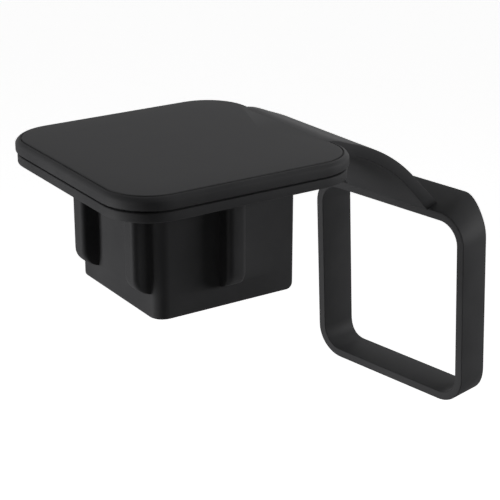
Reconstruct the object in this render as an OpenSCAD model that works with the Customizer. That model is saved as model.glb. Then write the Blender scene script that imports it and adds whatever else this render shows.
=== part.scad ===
// Cover for the open end of a square towing receiver tube.
// One moulded rubber piece: a square cap plate, a ribbed hollow plug below it,
// and a bent strap that carries a square retaining ring.
// Sizes are in millimetres. Z is up and z = 0 is the underside of the cap plate.
// X runs from the plate towards the ring. The origin is the centre of the plate.

/* [Plate] */
// side of the square cap plate
plate_side = 80; // [70:1:110]
// corner radius of the cap plate
plate_corner_r = 15; // [8:0.5:20]
// thickness of the upper pad of the plate
pad_t = 3.85; // [2:0.05:8]
// width of the sloped shoulder round the top of the pad
shoulder_w = 1.7; // [0.5:0.1:4]
// height of the sloped shoulder round the top of the pad
shoulder_h = 1.3; // [0.3:0.1:1.8]
// height of the groove between pad and flange
groove_h = 0.65; // [0.3:0.05:1.5]
// depth of the groove, from the edge of the pad
groove_d = 1.6; // [0.8:0.1:3]
// thickness of the lower flange of the plate
flange_t = 2.9; // [1.5:0.1:6]
// how far the flange edge lies inside the pad edge
flange_inset = 0.5; // [0:0.1:0.7]

/* [Plug] */
// width of the plug across its flat walls
plug_side = 47.4; // [40:0.1:52]
// depth of the plug below the plate
plug_depth = 36; // [32:0.5:60]
// radius of the plug's two upright corners away from the strap
plug_corner_r = 4.5; // [2:0.1:8]
// radius of the plug's two upright corners on the strap's side
plug_strap_corner_r = 1.2; // [0.5:0.1:4]
// rounding of the plug's lower edge on the strap's side
plug_toe_r = 2; // [0.5:0.1:2.4]
// wall of the hollow plug
plug_wall = 4; // [2.5:0.1:6]
// rubber left above the hollow, measured from the top of the plate
cap_t = 5; // [3:0.1:7]
// place of the plug's centre along X, from the centre of the plate
plug_x = 0.95; // [-3:0.05:3]
// place of the plug's centre along Y, from the centre of the plate
plug_y = -0.6; // [-3:0.1:3]

/* [Ribs] */
// width of each rib
rib_w = 6.2; // [3:0.1:8]
// how far each rib stands out of its wall
rib_proud = 5.4; // [2:0.1:8]
// length of each rib below the plate
rib_l = 29.8; // [15:0.1:31]
// rounding of the outer upright edges of each rib
rib_edge_r = 1.4; // [0.3:0.1:1.4]
// place of the front rib on the wall away from the strap, from the centre of the plug
rib_front = -17.2; // [-18:0.1:-8]
// place of the rear rib on the wall away from the strap, from the centre of the plug
rib_rear = 13.9; // [8:0.1:18]
// place of the single ribs on the walls beside the strap, from the centre of the plug
rib_single = 0.5; // [-8:0.1:8]

/* [Strap] */
// thickness of the strap
strap_t = 3.8; // [2:0.1:5]
// width of the strap where it starts to bend
strap_root_w = 47.2; // [30:0.1:50]
// width of the strap at the ring
strap_end_w = 35.2; // [20:0.1:40]
// distance from the plate's edge back to the start of the bend
bend_inset = 10; // [4:0.5:14]
// bend radius of the strap's upper face
bend_r = 58; // [30:1:90]
// angle that the strap turns through, down from level
bend_angle = 47; // [30:1:60]
// length of the strap's straight run on its underside, from bend to ring
strap_run = 13.9; // [8:0.1:40]

/* [Ring] */
// outer width of the ring
ring_w = 65.6; // [50:0.1:90]
// outer height of the ring
ring_h = 66.4; // [50:0.1:90]
// outer corner radius of the ring
ring_corner_r = 10; // [6:0.5:16]
// thickness of the ring's band
ring_wall = 2.9; // [1.5:0.1:5]
// width of the ring's band from front to back
ring_depth = 12.8; // [8:0.1:20]
// angle by which the top of the band is raised towards the back
ring_lift = 17; // [0:1:25]
// angle by which each leg of the band leans inwards towards the back
ring_lean = 5; // [0:0.5:12]
// distance from the ring's front edge to the underside of the strap
ring_setback = 0.3; // [0:0.1:3]
// turn of the ring about Z, away from square to the strap
ring_turn = 9.4; // [-15:0.1:15]
// backward tip of the ring
ring_tip = 2; // [-8:0.1:8]
// roll of the ring in its own plane
ring_roll = 0.4; // [-5:0.1:5]
// sideways shift of the ring's lower end, towards -Y
ring_sway = 0.8; // [-3:0.1:3]

/* [Hidden] */
$fn = 96;
groove_z = flange_t;
pad_z = groove_z + groove_h;
plate_t = pad_z + pad_t;
hollow_side = plug_side - 2 * plug_wall;
hollow_corner_r = max(plug_corner_r - plug_wall, 1.5);
lift_power = 4;
rib_root = plug_wall / 2;
bend_x = plate_side / 2 - bend_inset;
bend_z = plate_t - bend_r;
strap_end_x = bend_x + (bend_r - strap_t) * sin(bend_angle) + strap_run * cos(bend_angle);
strap_end_z = bend_z + (bend_r - strap_t) * cos(bend_angle) - strap_run * sin(bend_angle);
strap_root_x = plug_x;
strap_over = 3 * strap_t;
bend_steps = 24;
run_steps = 6;
corner_steps = 14;
ring_sections = 4 * (corner_steps + 1);

// Flat square with rounded corners, centred on the origin.
module rounded_square(side, r) {
    square([side, side - 2 * r], center = true);
    square([side - 2 * r, side], center = true);
    for (sx = [-1, 1])
        for (sy = [-1, 1])
            translate([sx * (side / 2 - r), sy * (side / 2 - r)])
                circle(r = r);
}

// Outline of the pad's edge, from the corner axis outwards.
module pad_edge() {
    polygon([
        [0, 0],
        [plate_corner_r, 0],
        [plate_corner_r, pad_t - shoulder_h],
        [plate_corner_r - shoulder_w, pad_t],
        [0, pad_t],
    ]);
}

// Upper layer of the plate, with a sloped shoulder on all four sides.
module pad() {
    straight = plate_side - 2 * plate_corner_r;
    translate([0, 0, pad_z]) {
        linear_extrude(height = pad_t)
            square(straight, center = true);
        for (quarter = [0:3])
            rotate([0, 0, 90 * quarter])
                translate([straight / 2, straight / 2, 0]) {
                    rotate_extrude(angle = 90)
                        pad_edge();
                    rotate([90, 0, 0])
                        linear_extrude(height = straight)
                            pad_edge();
                }
    }
}

// Lower layer of the plate and the neck that the groove leaves between the layers.
module flange() {
    linear_extrude(height = flange_t)
        rounded_square(plate_side - 2 * flange_inset, plate_corner_r - flange_inset);
    linear_extrude(height = pad_z + pad_t / 2)
        rounded_square(plate_side - 2 * groove_d, plate_corner_r - groove_d);
}

// One rib: it stands out along +X from a wall at x = 0, and its lower end curves back into the wall.
module rib() {
    intersection() {
        translate([0, 0, -rib_l])
            linear_extrude(height = rib_l) {
                translate([-rib_root, -rib_w / 2])
                    square([rib_root + rib_proud - rib_edge_r, rib_w]);
                translate([-rib_root, rib_edge_r - rib_w / 2])
                    square([rib_root + rib_proud, rib_w - 2 * rib_edge_r]);
                for (side = [-1, 1])
                    translate([rib_proud - rib_edge_r, side * (rib_w / 2 - rib_edge_r)])
                        circle(r = rib_edge_r);
            }
        rotate([90, 0, 0])
            linear_extrude(height = 2 * rib_w, center = true) {
                translate([-rib_root, rib_proud - rib_l])
                    square([rib_root + rib_proud, rib_l - rib_proud]);
                translate([0, rib_proud - rib_l])
                    circle(r = rib_proud);
            }
    }
}

// The ribs: two on the wall away from the strap, one on each other wall.
module ribs() {
    for (place = [rib_front, rib_rear])
        translate([-plug_side / 2, place, 0])
            rotate([0, 0, 180])
                rib();
    for (side = [-1, 0, 1])
        rotate([0, 0, side * 90])
            translate([plug_side / 2, -side * rib_single, 0])
                rib();
}

// Plan outline of the plug, with tighter corners on the strap's side.
module plug_plan() {
    rounded_square(plug_side, plug_corner_r);
    intersection() {
        rounded_square(plug_side, plug_strap_corner_r);
        translate([0, -plug_side / 2])
            square([plug_side, plug_side]);
    }
}

// Side outline of the plug, with its lower edge rounded on the strap's side.
module plug_side_outline() {
    height = plug_depth + flange_t;
    translate([-plug_side, -plug_depth])
        square([1.5 * plug_side - plug_toe_r, height]);
    translate([-plug_side, plug_toe_r - plug_depth])
        square([1.5 * plug_side, height - plug_toe_r]);
    translate([plug_side / 2 - plug_toe_r, plug_toe_r - plug_depth])
        circle(r = plug_toe_r);
}

// Walls of the plug with their ribs, still solid inside.
module plug() {
    translate([plug_x, plug_y, 0]) {
        intersection() {
            translate([0, 0, -plug_depth])
                linear_extrude(height = plug_depth + flange_t)
                    plug_plan();
            rotate([90, 0, 0])
                linear_extrude(height = 2 * plug_side, center = true)
                    plug_side_outline();
        }
        ribs();
    }
}

// Space inside the plug, open at its lower end.
module plug_hollow() {
    translate([plug_x, plug_y, -plug_depth - 1])
        linear_extrude(height = plug_depth + 1 + plate_t - cap_t)
            rounded_square(hollow_side, hollow_corner_r);
}

// Share of the way from the start of the bend to the ring at which the strap has the given x.
function strap_share(x) = min(max((x - bend_x) / (strap_end_x - bend_x), 0), 1);

// Point of the strap at its middle: radius in the bend, angle turned, length of straight run.
function strap_middle(r, turned, run) = [
    bend_x + r * sin(turned) + run * cos(turned),
    0,
    bend_z + r * cos(turned) - run * sin(turned)
];

// Way across the strap, which turns by degrees from square at the plate to the ring's own way.
function strap_across(share) =
    let (turn = ring_turn * share * share)
        [-sin(turn), cos(turn), 0];

// The four corners of the strap's section at a station: [angle turned, length of run, shift along X].
function strap_section(station) =
    let (
        shift = [station[2], 0, 0],
        upper = strap_middle(bend_r, station[0], station[1]) + shift,
        lower = strap_middle(bend_r - strap_t, station[0], station[1]) + shift,
        share = strap_share(lower.x),
        half = (strap_root_w + (strap_end_w - strap_root_w) * share) / 2,
        side = half * strap_across(share)
    )
        [upper - side, upper + side, lower + side, lower - side];

// Places what it is given at the strap's lower end.
// There x becomes the ring's width, y its height and z its front to back direction.
module at_ring() {
    translate([strap_end_x - ring_setback, 0, strap_end_z])
        rotate([-ring_roll, -ring_tip, ring_turn])
            rotate([90, 0, 90])
                children();
}

// The full sheet of the strap, from inside the plate to below the top of the ring.
module strap_sheet() {
    run_end = strap_run + strap_over;
    stations = [
        [0, 0, strap_root_x - bend_x],
        for (step = [0:bend_steps]) [bend_angle * step / bend_steps, 0, 0],
        for (step = [1:run_steps]) [bend_angle, run_end * step / run_steps, 0],
    ];
    last = 4 * (len(stations) - 1);
    polyhedron(
        points = [for (station = stations) each strap_section(station)],
        faces = [
            [3, 2, 1, 0],
            for (here = [0:4:last - 4])
                for (edge = [0:3])
                    each band_faces(here, here + 4, edge),
            [last, last + 1, last + 2, last + 3],
        ]
    );
}

// The strap, ending halfway through the top of the ring's band.
module strap() {
    difference() {
        strap_sheet();
        at_ring()
            rotate([-ring_lift, 0, 0])
                translate([-ring_w / 2, -ring_wall / 2 - ring_h, -ring_depth])
                    cube([ring_w, ring_h, 4 * ring_depth]);
    }
}

// Two triangles that join the same edge of two sections of four points.
function band_faces(here, next, edge) =
    let (far = (edge + 1) % 4)
        [
            [here + edge, next + far, next + edge],
            [here + edge, here + far, next + far],
        ];

// How far the band's back edge is raised where the band faces the given way, 90 being up.
function band_rise(way) = ring_depth * tan(ring_lift) * pow(max(sin(way), 0), lift_power);

// How far the band's back edge lies inwards where the band faces the given way, 0 and 180 being the legs.
function band_lean(way) = ring_depth * tan(ring_lean) * pow(cos(way), 3);

// Sideways shift of the ring at the given height, which is 0 at its top.
function band_sway(y) = ring_sway * y / ring_h;

// Point of the ring's band: way it faces, corner centre, distance from that centre, front or back.
function band_point(way, centre, r, back) = [
    centre.x + r * cos(way) - (back ? band_lean(way) : 0) + band_sway(centre.y + r * sin(way)),
    centre.y + r * sin(way) + (back ? band_rise(way) : 0),
    back ? ring_depth : 0
];

// Centre of the corner that holds the given way.
function corner_centre(corner) = [
    (corner == 0 || corner == 3 ? 1 : -1) * (ring_w / 2 - ring_corner_r),
    (corner < 2 ? 1 : -1) * (ring_h / 2 - ring_corner_r) - ring_h / 2
];

// Retaining ring: a flat band bent round into a square with rounded corners.
module ring() {
    inner_r = ring_corner_r - ring_wall;
    points = [
        for (corner = [0:3])
            for (step = [0:corner_steps])
                let (way = 90 * (corner + step / corner_steps), centre = corner_centre(corner))
                    each [
                        band_point(way, centre, ring_corner_r, false),
                        band_point(way, centre, ring_corner_r, true),
                        band_point(way, centre, inner_r, true),
                        band_point(way, centre, inner_r, false),
                    ]
    ];
    faces = [
        for (section = [0:ring_sections - 1])
            for (edge = [0:3])
                each band_faces(4 * section, 4 * ((section + 1) % ring_sections), edge)
    ];
    polyhedron(points = points, faces = faces);
}

// The whole moulding.
module hitch_cover() {
    color([0.05, 0.05, 0.055])
        difference() {
            union() {
                pad();
                flange();
                plug();
                strap();
                at_ring()
                    ring();
            }
            plug_hollow();
        }
}

hitch_cover();
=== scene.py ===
import math

import bmesh
import bpy
from mathutils import Matrix, Vector


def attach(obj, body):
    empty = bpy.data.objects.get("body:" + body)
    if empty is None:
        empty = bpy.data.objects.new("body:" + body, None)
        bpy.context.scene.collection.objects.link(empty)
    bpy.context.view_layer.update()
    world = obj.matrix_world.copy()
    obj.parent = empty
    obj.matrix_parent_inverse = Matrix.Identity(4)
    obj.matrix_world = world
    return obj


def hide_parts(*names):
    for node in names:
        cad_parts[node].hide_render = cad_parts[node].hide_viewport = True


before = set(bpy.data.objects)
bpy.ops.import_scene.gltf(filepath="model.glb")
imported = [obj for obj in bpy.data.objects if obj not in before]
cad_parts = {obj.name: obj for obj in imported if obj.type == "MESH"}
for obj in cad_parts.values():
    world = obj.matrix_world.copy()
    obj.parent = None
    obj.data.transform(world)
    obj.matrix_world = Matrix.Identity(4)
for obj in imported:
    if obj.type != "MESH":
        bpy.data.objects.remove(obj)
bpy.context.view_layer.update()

MM = 0.001

# Sizes of the moulding in millimetres, in the frame of the CAD part.
PLATE_SIDE = 80.0
PLATE_CORNER_R = 15.0
PLATE_TOP = 7.4
PAD_BASE = 3.6
FLANGE_TOP = 2.85
FLANGE_INSET = 0.5
GROOVE_DEPTH = 1.6
CREASE_INSET = 1.75
CREASE_OUTSET = 0.9
FLANGE_SOFT = 0.35
PAD_SOFT = 0.3
# Shoulder of the pad: (inset from its edge, z).
SHOULDER = (
    (0.0, 5.9), (0.06, 6.1), (0.2, 6.33), (0.45, 6.66), (0.8, 6.98), (1.2, 7.2), (1.45, 7.25),
)
# Crease on the plate's top: (inset beyond CREASE_INSET, z).
CREASE = ((-0.2, 7.1), (-0.1, 6.95), (0.1, 6.9), (0.22, 7.1), (0.32, 7.32), (0.55, 7.38))
# Inner outlines of the plate's top, as shares of its outer one.
TOP_SHARES = (0.75, 0.45, 0.15)

PLUG_CENTRE = (0.95, -0.6)
PLUG_HALF = 23.7
PLUG_CORNER_R = 4.5
PLUG_STRAP_CORNER_R = 1.2
PLUG_TOE_R = 3.2
PLUG_DEPTH = 36.0
PLUG_WALL = 4.0
HOLLOW_CORNER_R = 1.5
HOLLOW_ROOF = 2.4
# Soft lip of the plug's lower end: (height above the end, distance that the walls draw back).
PLUG_LIP = ((0.12, 0.12), (0.0, 0.4))
PLUG_LIP_H = 0.4
# Inside of the plug from its lower end up:
# (height, growth of the hollow's half side, growth of its corner radius).
HOLLOW_STEPS = (
    (-PLUG_DEPTH, 0.4, 0.4),
    (-PLUG_DEPTH + 0.12, 0.1, 0.1),
    (-PLUG_DEPTH + PLUG_LIP_H, 0.0, 0.0),
    (HOLLOW_ROOF - 1, 0.0, 0.0),
    (HOLLOW_ROOF - 0.3, -0.3, 0.0),
    (HOLLOW_ROOF, -1.0, 0.0),
)

RIB_W = 6.2
RIB_PROUD = 5.4
RIB_L = 29.8
RIB_EDGE_R = 1.8
# Foot of each side of a rib: (distance outside the rib, share of its height).
RIB_FOOT = ((0.5, 0.0), (0.18, 0.03), (0.03, 0.1))
# For each wall, the places and lengths of its ribs.
RIB_PLACES = (
    ((0.0, RIB_L),),
    ((-0.5, RIB_L),),
    ((-13.9, RIB_L), (17.2, RIB_L - 1.4)),
    ((0.5, RIB_L - 0.3),),
)
# Least distance along a wall between a point of a rib and one of a corner.
RIB_CLEAR = 0.4

STRAP_T = 3.8
STRAP_ROOT_W = 47.2
STRAP_END_W = 35.2
BEND_X = 30.0
BEND_R = 58.0
BEND_ANGLE = math.radians(47)
STRAP_RUN = 13.9
STRAP_SOFT = 0.2
# The strap begins inside the plate.
STRAP_START_X = 37.3
# The strap's upper face is level up to the first x and meets its arc at the second.
STRAP_FLOW = (38.3, 48.0)
STRAP_ABOVE_PLATE = 0.01
# Share of its thickness that the strap gains at the ring.
STRAP_GAIN = 0.15
BEND_STEPS = 24
RUN_STEPS = 8
BROAD_STEPS = 12

RING_W = 65.6
RING_H = 66.4
RING_CORNER_R = 10.0
RING_WALL = 2.9
RING_DEPTH = 12.8
RING_SOFT = 0.35
RING_LIFT = math.radians(17)
RING_SETBACK = 0.3
RING_TURN = math.radians(9.4)
RING_TIP = math.radians(2)
RING_ROLL = math.radians(0.4)
RING_SWAY = 0.8
RING_LEAN = math.radians(5)
# How closely the lift keeps to the ring's upper side, and the lean to its legs.
LIFT_POWER = 4
LEAN_POWER = 3

# The strap's lower face, the middle of its bend and its end.
LOWER_R = BEND_R - STRAP_T
BEND_Z = PLATE_TOP - BEND_R
END_X = BEND_X + LOWER_R * math.sin(BEND_ANGLE) + STRAP_RUN * math.cos(BEND_ANGLE)
END_Z = BEND_Z + LOWER_R * math.cos(BEND_ANGLE) - STRAP_RUN * math.sin(BEND_ANGLE)
# Places the ring at the strap's end.
# x is its width, y its height and z its front to back direction.
RING_MATRIX = (
    Matrix.Translation((END_X - RING_SETBACK, 0, END_Z))
    @ Matrix.Rotation(RING_TURN, 4, "Z")
    @ Matrix.Rotation(-RING_TIP, 4, "Y")
    @ Matrix.Rotation(-RING_ROLL, 4, "X")
    @ Matrix(((0, 0, 1, 0), (1, 0, 0, 0), (0, 1, 0, 0), (0, 0, 0, 1)))
)

CORNER_STEPS = 12
SOFT_STEPS = 3
SHARP_ANGLE = math.radians(32)
WELD_DISTANCE = 1e-5

# Camera and studio, in metres and degrees.
PHOTO_SIDE = 500
FOCAL_PIXELS = 1537.4
SENSOR_MM = 36
CAMERA_PLACE = (-0.22259, -0.37438, 0.13387 + PLATE_TOP * MM)
CAMERA_AZIMUTH = -33.47
CAMERA_DROP = 21.07
CAMERA_ROLL = 0.18
FLOOR_Z = -0.8
FLOOR_HALF_SIDE = 6.0
FLOOR_GLOW = 0.9
WORLD_LIGHT = 0.02
PART_CENTRE = (0.02, 0, -0.02)
PLATE_EDGE = (0.03, 0.02, 0)
# Lamps: (name, place, what it is aimed at, side, power in watts).
LAMPS = (
    ("left_soft", (-1.0, 0.55, 0.25), PART_CENTRE, 0.4, 8.5),
    ("low_soft", (-0.95, 0.35, -0.45), PART_CENTRE, 0.4, 10),
    ("right_soft", (1.0, -0.62, 0.15), PART_CENTRE, 0.4, 12),
    ("top_soft", (0.3, -0.4, 1.1), PART_CENTRE, 0.4, 3.5),
    ("back_soft", (0.4, 0.15, 0.3), PLATE_EDGE, 0.25, 0.5),
)


def rounded_square(half, r):
    """Points round a square with rounded corners, anticlockwise from the middle of its +X side."""
    points = [(half, 0.0)]
    for corner in range(4):
        way = math.pi / 2 * corner
        centre = Vector((half - r, half - r))
        centre.rotate(Matrix.Rotation(way, 2))
        for step in range(CORNER_STEPS + 1):
            angle = way + math.pi / 2 * step / CORNER_STEPS
            points.append((centre.x + r * math.cos(angle), centre.y + r * math.sin(angle)))
        middle = Vector((0.0, half))
        middle.rotate(Matrix.Rotation(way, 2))
        if corner < 3:
            points.append((middle.x, middle.y))
    return points


def add_loop(bm, points):
    """Vertices at the given points."""
    return [bm.verts.new(p) for p in points]


def bridge(bm, lower, upper):
    """Quads between two loops with as many points each."""
    n = len(lower)
    for i in range(n):
        bm.faces.new((lower[i], lower[(i + 1) % n], upper[(i + 1) % n], upper[i]))


def bridge_all(bm, loops):
    """Quads between each loop and the next."""
    for lower, upper in zip(loops, loops[1:]):
        bridge(bm, lower, upper)


def fill_between(bm, outer, inner):
    """Flat face between two loops at one height."""
    edges = []
    for loop in (outer, inner):
        for i, v in enumerate(loop):
            w = loop[(i + 1) % len(loop)]
            edges.append(bm.edges.get((v, w)) or bm.edges.new((v, w)))
    bmesh.ops.triangle_fill(bm, use_beauty=True, edges=edges)


def arc(centre, r, start, end, steps):
    """Points of an arc, angles in degrees."""
    angles = [math.radians(start + (end - start) * i / steps) for i in range(steps + 1)]
    return [(centre[0] + r * math.cos(a), centre[1] + r * math.sin(a)) for a in angles]


def finish_mesh(bm, name):
    """Object in metres made from a mesh in millimetres."""
    bmesh.ops.remove_doubles(bm, verts=bm.verts, dist=WELD_DISTANCE)
    bmesh.ops.recalc_face_normals(bm, faces=bm.faces)
    bmesh.ops.scale(bm, vec=(MM, MM, MM), verts=bm.verts)
    mesh = bpy.data.meshes.new(name)
    bm.to_mesh(mesh)
    bm.free()
    obj = bpy.data.objects.new(name, mesh)
    bpy.context.scene.collection.objects.link(obj)
    return obj


def plate_profile():
    """Edge of the plate from its underside to the crease on its top: (inset from the edge, z)."""
    soft = FLANGE_SOFT
    flange = arc((FLANGE_INSET + soft, soft), soft, 270, 180, SOFT_STEPS)
    flange += arc((FLANGE_INSET + soft, FLANGE_TOP - soft), soft, 180, 90, SOFT_STEPS)
    groove = [(GROOVE_DEPTH, FLANGE_TOP), (GROOVE_DEPTH, PAD_BASE)]
    pad = arc((PAD_SOFT, PAD_BASE + PAD_SOFT), PAD_SOFT, 270, 180, SOFT_STEPS)
    crease = [(CREASE_INSET + across, z) for across, z in CREASE]
    crease.append((CREASE_INSET + CREASE_OUTSET, PLATE_TOP))
    return flange + groove + pad + list(SHOULDER) + crease


def plate_loop(inset, z):
    """Outline of the plate at height z, drawn in by the given inset."""
    return [(x, y, z) for x, y in rounded_square(PLATE_SIDE / 2 - inset, PLATE_CORNER_R - inset)]


def rib_section(centre):
    """A rib across one wall of the plug: (place along the wall, share of the rib's height)."""
    near_side = centre - RIB_W / 2
    side = [(near_side - outside, height) for outside, height in RIB_FOOT]
    for angle in (0, 22.5, 45, 67.5, 90):
        across = RIB_EDGE_R * (1 - math.cos(math.radians(angle)))
        below = RIB_EDGE_R / RIB_PROUD * (1 - math.sin(math.radians(angle)))
        side.append((near_side + across, 1 - below))
    return side + [(centre, 1.0)] + [(2 * centre - y, h) for y, h in reversed(side)]


def rib_height(z, length):
    """How far a rib stands out at height z: its lower end is rounded back into the wall."""
    drop = -z - (length - RIB_PROUD)
    if drop <= 0:
        return RIB_PROUD
    return RIB_PROUD * math.sqrt(max(1 - (drop / RIB_PROUD) ** 2, 0.0))


def plug_toe(z):
    """Greatest x of the plug at height z: its lower edge is rounded on the strap's side."""
    below = PLUG_TOE_R - min(z + PLUG_DEPTH, PLUG_TOE_R)
    round_x = math.sqrt(max(PLUG_TOE_R ** 2 - below ** 2, 0.0))
    return PLUG_CENTRE[0] + PLUG_HALF - PLUG_TOE_R + round_x


def plug_loop(z, shrink=0.0):
    """Outline of the plug with its ribs at height z."""
    toe = plug_toe(z) if z < PLUG_TOE_R - PLUG_DEPTH else None
    points = []
    for wall in range(4):
        first_r = PLUG_STRAP_CORNER_R if wall in (0, 1) else PLUG_CORNER_R
        last_r = PLUG_STRAP_CORNER_R if wall in (0, 3) else PLUG_CORNER_R
        marks = []
        for place, length in RIB_PLACES[wall]:
            marks += [(y, share * rib_height(z, length)) for y, share in rib_section(place)]
        near = [mark[0] for mark in marks]
        for side, r, angles in ((-1, first_r, (0, 15, 30, 45)), (1, last_r, (0, 15, 30))):
            for angle in angles:
                y = side * (PLUG_HALF - r + r * math.sin(math.radians(angle)))
                if all(abs(y - n) >= RIB_CLEAR for n in near):
                    marks.append((y, 0.0))
        marks.sort()
        turn = Matrix.Rotation(math.pi / 2 * wall, 2)
        for y, h in marks:
            r = first_r if y < 0 else last_r
            over = max(abs(y) - (PLUG_HALF - r), 0.0)
            base = PLUG_HALF - r + math.sqrt(max(r ** 2 - over ** 2, 0.0))
            p = turn @ Vector((base + h - shrink, y))
            x = PLUG_CENTRE[0] + p.x
            points.append((x if toe is None else min(x, toe), PLUG_CENTRE[1] + p.y, z))
    return points


def plug_heights():
    """Heights of the plug's outlines, close together where its ribs and lower edge are rounded."""
    lengths = {length for ribs in RIB_PLACES for _, length in ribs}
    drops = set()
    for length in lengths:
        for angle in (0, 14, 28, 42, 54, 66, 76, 84, 90):
            drops.add(round(length - RIB_PROUD * (1 - math.sin(math.radians(angle))), 3))
    heights = [0.0, -(RIB_L - RIB_PROUD) / 2] + [-drop for drop in sorted(drops)]
    for angle in (0, 12, 24, 36, 48):
        heights.append(-PLUG_DEPTH + PLUG_TOE_R * (1 - math.sin(math.radians(angle))))
    return heights + [-PLUG_DEPTH + PLUG_LIP_H]


def hollow_loop(half, r, z):
    """Outline of the plug's hollow at height z."""
    return [(PLUG_CENTRE[0] + x, PLUG_CENTRE[1] + y, z) for x, y in rounded_square(half, r)]


def build_plate_and_plug():
    """The plate, with its groove and crease, and the hollow plug with its ribs."""
    bm = bmesh.new()
    loops = [add_loop(bm, plate_loop(inset, z)) for inset, z in plate_profile()]
    bridge_all(bm, loops)
    top = [loops[-1]]
    for share in TOP_SHARES:
        points = [(v.co.x * share, v.co.y * share, PLATE_TOP) for v in loops[-1]]
        top.append(add_loop(bm, points))
    bridge_all(bm, top)
    bm.faces.new(top[-1])

    walls = [add_loop(bm, plug_loop(z)) for z in plug_heights()]
    walls += [add_loop(bm, plug_loop(-PLUG_DEPTH + above, inset)) for above, inset in PLUG_LIP]
    for upper, lower in zip(walls, walls[1:]):
        bridge(bm, lower, upper)

    half = PLUG_HALF - PLUG_WALL
    inside = [
        add_loop(bm, hollow_loop(half + wider, HOLLOW_CORNER_R + rounder, z))
        for z, wider, rounder in HOLLOW_STEPS
    ]
    bridge_all(bm, inside)
    bm.faces.new(inside[-1])

    fill_between(bm, loops[0], walls[0])
    fill_between(bm, walls[-1], inside[0])
    return finish_mesh(bm, "plate_and_plug")


def ring_section():
    """Section of the ring's band as (distance in from the outer face, depth from the front)."""
    soft, inner, back = RING_SOFT, RING_WALL - RING_SOFT, RING_DEPTH - RING_SOFT
    section = arc((soft, soft), soft, 180, 270, SOFT_STEPS)
    section += arc((inner, soft), soft, 270, 360, SOFT_STEPS)
    section += arc((inner, back), soft, 0, 90, SOFT_STEPS)
    return section + arc((soft, back), soft, 90, 180, SOFT_STEPS)


def build_ring():
    """The ring: a band with softened edges swept round a square with rounded corners."""
    bm = bmesh.new()
    loops = []
    half_w, half_h = RING_W / 2, RING_H / 2
    for quarter in range(4):
        cx = (1 if quarter in (0, 3) else -1) * (half_w - RING_CORNER_R)
        cy = (1 if quarter < 2 else -1) * (half_h - RING_CORNER_R)
        for step in range(CORNER_STEPS + 1):
            way = math.pi / 2 * (quarter + step / CORNER_STEPS)
            rise_slope = math.tan(RING_LIFT) * max(math.sin(way), 0.0) ** LIFT_POWER
            lean_slope = math.tan(RING_LEAN) * math.cos(way) ** LEAN_POWER
            points = []
            for inward, depth in ring_section():
                r = RING_CORNER_R - inward
                down = half_h - cy - r * math.sin(way)
                sway = RING_SWAY * down / RING_H
                x = cx + r * math.cos(way) - depth * lean_slope - sway
                points.append(RING_MATRIX @ Vector((x, depth * rise_slope - down, depth)))
            loops.append(add_loop(bm, points))
    bridge_all(bm, loops + loops[:1])
    return finish_mesh(bm, "ring")


def spread(a, b, n):
    """Points between two others, without their ends."""
    return [(a[0] + (b[0] - a[0]) * i / n, a[1] + (b[1] - a[1]) * i / n) for i in range(1, n)]


def strap_outline(half):
    """Section of the strap as (place across it, depth below its upper face)."""
    soft, lower = STRAP_SOFT, STRAP_T - STRAP_SOFT
    corners = [
        arc((soft - half, soft), soft, 180, 270, SOFT_STEPS),
        arc((half - soft, soft), soft, 270, 360, SOFT_STEPS),
        arc((half - soft, lower), soft, 0, 90, SOFT_STEPS),
        arc((soft - half, lower), soft, 90, 180, SOFT_STEPS),
    ]
    upper_face = spread(corners[0][-1], corners[1][0], BROAD_STEPS)
    lower_face = spread(corners[2][-1], corners[3][0], BROAD_STEPS)
    return corners[0] + upper_face + corners[1] + corners[2] + lower_face + corners[3]


def bend_height(x):
    """Height of the arc of the strap's upper face at the given x."""
    return BEND_Z + math.sqrt(BEND_R ** 2 - (x - BEND_X) ** 2)


def strap_raise(x):
    """How far the strap's upper face is above its arc, where it flows out of the plate's top."""
    start, end = STRAP_FLOW
    level = PLATE_TOP + STRAP_ABOVE_PLATE
    if x >= end:
        return 0.0
    if x <= start:
        return level - bend_height(x)
    t = (x - start) / (end - start)
    end_z = bend_height(end)
    end_slope = -(end - BEND_X) / (end_z - BEND_Z)
    flow = (2 * t ** 3 - 3 * t ** 2 + 1) * level + (3 * t ** 2 - 2 * t ** 3) * end_z
    return flow + (t ** 3 - t ** 2) * (end - start) * end_slope - bend_height(x)


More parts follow.
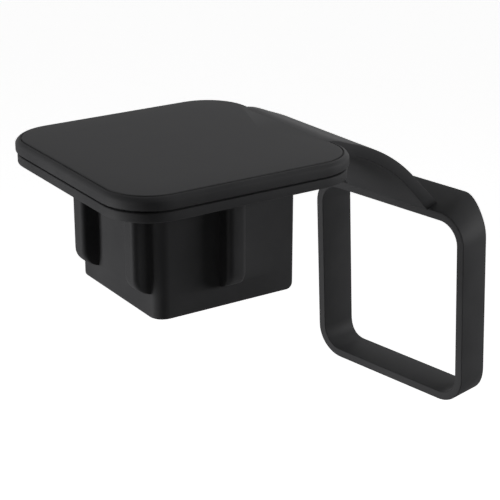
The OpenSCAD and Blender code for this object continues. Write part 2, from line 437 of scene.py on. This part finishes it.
def build_strap():
    """The strap: a bent sheet that turns towards the ring and ends in the top of its band."""
    bm = bmesh.new()
    centre = Vector((BEND_X, 0.0, BEND_Z))
    to_ring = RING_MATRIX.inverted()
    inner_way = Vector((0.0, math.cos(RING_LIFT), -math.sin(RING_LIFT)))
    first = math.asin((STRAP_START_X - BEND_X) / BEND_R)
    # stations: (angle turned, share of the straight run)
    stations = [
        (first + (BEND_ANGLE - first) * step / BEND_STEPS, 0.0)
        for step in range(BEND_STEPS + 1)
    ]
    stations += [(BEND_ANGLE, step / RUN_STEPS) for step in range(1, RUN_STEPS + 1)]
    loops = []
    for turned, part in stations:
        down = Vector((math.sin(turned), 0.0, math.cos(turned)))
        along = Vector((math.cos(turned), 0.0, -math.sin(turned)))
        lower = centre + down * LOWER_R + along * STRAP_RUN * part
        share = min(max((lower.x - BEND_X) / (END_X - BEND_X), 0), 1)
        half = (STRAP_ROOT_W + (STRAP_END_W - STRAP_ROOT_W) * share) / 2
        turn = RING_TURN * share ** 2
        across = Vector((-math.sin(turn), math.cos(turn), 0.0))
        lift = strap_raise(BEND_X + BEND_R * math.sin(turned)) if part == 0 else 0.0
        # how fast the strap's run nears the middle of the ring's band
        fall = -inner_way.dot(to_ring.to_3x3() @ along)
        points = []
        for y, depth in strap_outline(half):
            grown = depth * (1 + STRAP_GAIN * part ** 2)
            start = centre + down * (BEND_R - grown) + across * y
            start.z += lift * (1 - depth / STRAP_T)
            height = inner_way.dot(to_ring @ start) + RING_WALL / 2
            points.append(start + along * (height / fall * part))
        loops.append(add_loop(bm, points))
    bridge_all(bm, loops)
    bm.faces.new(loops[0])
    bm.faces.new(loops[-1])
    return finish_mesh(bm, "strap")


def join_solids(base, others, name):
    """One closed mesh from overlapping solids."""
    for other in others:
        cut = base.modifiers.new("join", "BOOLEAN")
        cut.operation = "UNION"
        cut.solver = "EXACT"
        cut.object = other
    depsgraph = bpy.context.evaluated_depsgraph_get()
    mesh = bpy.data.meshes.new_from_object(base.evaluated_get(depsgraph))
    obj = bpy.data.objects.new(name, mesh)
    bpy.context.scene.collection.objects.link(obj)
    for used in [base, *others]:
        bpy.data.objects.remove(used, do_unlink=True)
    for polygon in mesh.polygons:
        polygon.use_smooth = True
    mesh.set_sharp_from_angle(angle=SHARP_ANGLE)
    return obj


def rubber_material():
    """Satin black rubber with a fine moulded grain."""
    material = bpy.data.materials.new("black_rubber")
    material.use_nodes = True
    nodes, links = material.node_tree.nodes, material.node_tree.links
    shader = nodes["Principled BSDF"]
    shader.inputs["Specular IOR Level"].default_value = 0.05
    place = nodes.new("ShaderNodeTexCoord")

    cloud = nodes.new("ShaderNodeTexNoise")
    cloud.inputs["Scale"].default_value = 60
    cloud.inputs["Detail"].default_value = 3
    links.new(place.outputs["Object"], cloud.inputs["Vector"])

    tint = nodes.new("ShaderNodeValToRGB")
    tint.color_ramp.elements[0].position = 0.3
    tint.color_ramp.elements[0].color = (0.024, 0.024, 0.025, 1)
    tint.color_ramp.elements[1].position = 0.7
    tint.color_ramp.elements[1].color = (0.030, 0.030, 0.031, 1)
    links.new(cloud.outputs["Fac"], tint.inputs["Fac"])
    links.new(tint.outputs["Color"], shader.inputs["Base Color"])

    gloss = nodes.new("ShaderNodeMapRange")
    gloss.inputs["To Min"].default_value = 0.52
    gloss.inputs["To Max"].default_value = 0.6
    links.new(cloud.outputs["Fac"], gloss.inputs["Value"])
    links.new(gloss.outputs["Result"], shader.inputs["Roughness"])

    grain = nodes.new("ShaderNodeTexNoise")
    grain.inputs["Scale"].default_value = 2600
    grain.inputs["Detail"].default_value = 2
    links.new(place.outputs["Object"], grain.inputs["Vector"])
    bump = nodes.new("ShaderNodeBump")
    bump.inputs["Strength"].default_value = 0.12
    bump.inputs["Distance"].default_value = 0.00008
    links.new(grain.outputs["Fac"], bump.inputs["Height"])
    links.new(bump.outputs["Normal"], shader.inputs["Normal"])
    return material


def build_floor():
    """Plain pale floor well below the held part, which keeps the part's soft shadow."""
    bm = bmesh.new()
    bmesh.ops.create_grid(bm, x_segments=1, y_segments=1, size=FLOOR_HALF_SIDE)
    mesh = bpy.data.meshes.new("floor")
    bm.to_mesh(mesh)
    bm.free()
    floor = bpy.data.objects.new("floor", mesh)
    floor.location.z = FLOOR_Z
    bpy.context.scene.collection.objects.link(floor)
    material = bpy.data.materials.new("pale_floor")
    material.use_nodes = True
    nodes, links = material.node_tree.nodes, material.node_tree.links
    shader = nodes["Principled BSDF"]
    shader.inputs["Base Color"].default_value = (0.85, 0.85, 0.85, 1)
    shader.inputs["Roughness"].default_value = 0.9
    shader.inputs["Emission Color"].default_value = (1, 1, 1, 1)
    path = nodes.new("ShaderNodeLightPath")
    seen = nodes.new("ShaderNodeMath")
    seen.operation = "MULTIPLY"
    seen.inputs[1].default_value = FLOOR_GLOW
    links.new(path.outputs["Is Camera Ray"], seen.inputs[0])
    links.new(seen.outputs["Value"], shader.inputs["Emission Strength"])
    mesh.materials.append(material)


def area_light(name, place, target, side, power):
    """Square area lamp aimed at a target."""
    data = bpy.data.lights.new(name, "AREA")
    data.shape = "RECTANGLE"
    data.size = data.size_y = side
    data.energy = power
    lamp = bpy.data.objects.new(name, data)
    lamp.location = place
    lamp.rotation_euler = (Vector(target) - Vector(place)).to_track_quat("-Z", "Y").to_euler()
    bpy.context.scene.collection.objects.link(lamp)


def build_world():
    """White to the camera and in reflections, and almost dark as light."""
    world = bpy.data.worlds.new("studio")
    bpy.context.scene.world = world
    world.use_nodes = True
    nodes, links = world.node_tree.nodes, world.node_tree.links
    nodes.clear()
    out = nodes.new("ShaderNodeOutputWorld")
    mix = nodes.new("ShaderNodeMixShader")
    light = nodes.new("ShaderNodeBackground")
    light.inputs["Strength"].default_value = WORLD_LIGHT
    seen = nodes.new("ShaderNodeBackground")
    seen.inputs["Color"].default_value = (1, 1, 1, 1)
    path = nodes.new("ShaderNodeLightPath")
    shown = path.outputs["Is Camera Ray"]
    for kind in ("Is Glossy Ray", "Is Transmission Ray"):
        either = nodes.new("ShaderNodeMath")
        either.operation = "MAXIMUM"
        links.new(shown, either.inputs[0])
        links.new(path.outputs[kind], either.inputs[1])
        shown = either.outputs["Value"]
    links.new(shown, mix.inputs["Fac"])
    links.new(light.outputs["Background"], mix.inputs[1])
    links.new(seen.outputs["Background"], mix.inputs[2])
    links.new(mix.outputs["Shader"], out.inputs["Surface"])


def build_camera():
    """Camera of the photograph."""
    data = bpy.data.cameras.new("camera")
    data.sensor_width = SENSOR_MM
    data.lens = SENSOR_MM * FOCAL_PIXELS / PHOTO_SIDE
    data.clip_start = 0.01
    camera = bpy.data.objects.new("camera", data)
    turn = (
        Matrix.Rotation(math.radians(CAMERA_AZIMUTH), 4, "Z")
        @ Matrix.Rotation(math.radians(90 - CAMERA_DROP), 4, "X")
        @ Matrix.Rotation(math.radians(CAMERA_ROLL), 4, "Z")
    )
    camera.matrix_world = Matrix.Translation(CAMERA_PLACE) @ turn
    bpy.context.scene.collection.objects.link(camera)
    bpy.context.scene.camera = camera


plate = build_plate_and_plug()
strap = build_strap()
ring = build_ring()
cover = join_solids(plate, [ring, strap], "rubber_moulding")
cover.data.materials.clear()
cover.data.materials.append(rubber_material())
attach(cover, "root")
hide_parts("hitch_cover")

build_floor()
build_world()
for lamp in LAMPS:
    area_light(*lamp)
build_camera()
bpy.context.scene.view_settings.view_transform = "Standard"
